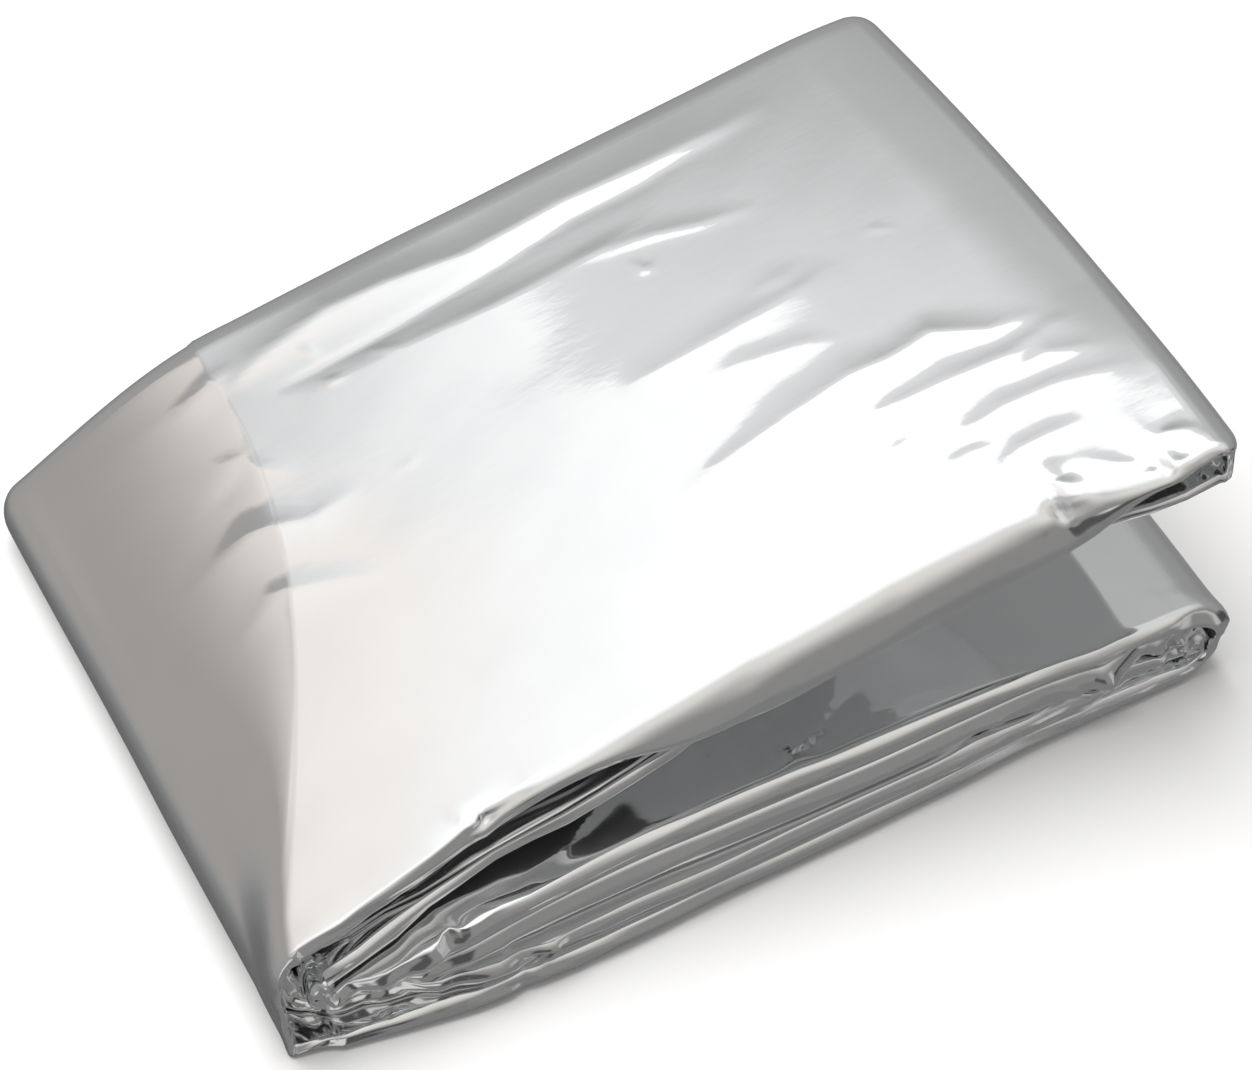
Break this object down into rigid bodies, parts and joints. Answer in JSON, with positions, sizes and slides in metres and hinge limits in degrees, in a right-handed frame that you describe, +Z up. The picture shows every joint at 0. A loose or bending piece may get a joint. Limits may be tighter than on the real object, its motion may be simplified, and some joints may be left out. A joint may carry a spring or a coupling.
{
  "type": "folded emergency foil blanket",
  "caption": "Emergency blanket of thin metallised film, folded into a flat packet that lies half open like a book.",
  "frame": {"origin": "on the surface under the middle of the packet's bounding box", "axes": "+X from the spine to the open end of the two leaves, +Y from the front folds to the back roll, +Z up"},
  "size_m": [0.1382, 0.1091, 0.0428],
  "materials": {
    "metallised_film": "gloss"
  },
  "bodies": {
    "root": {"foil_blanket": "metallised_film"}
  },
  "joints": []
}
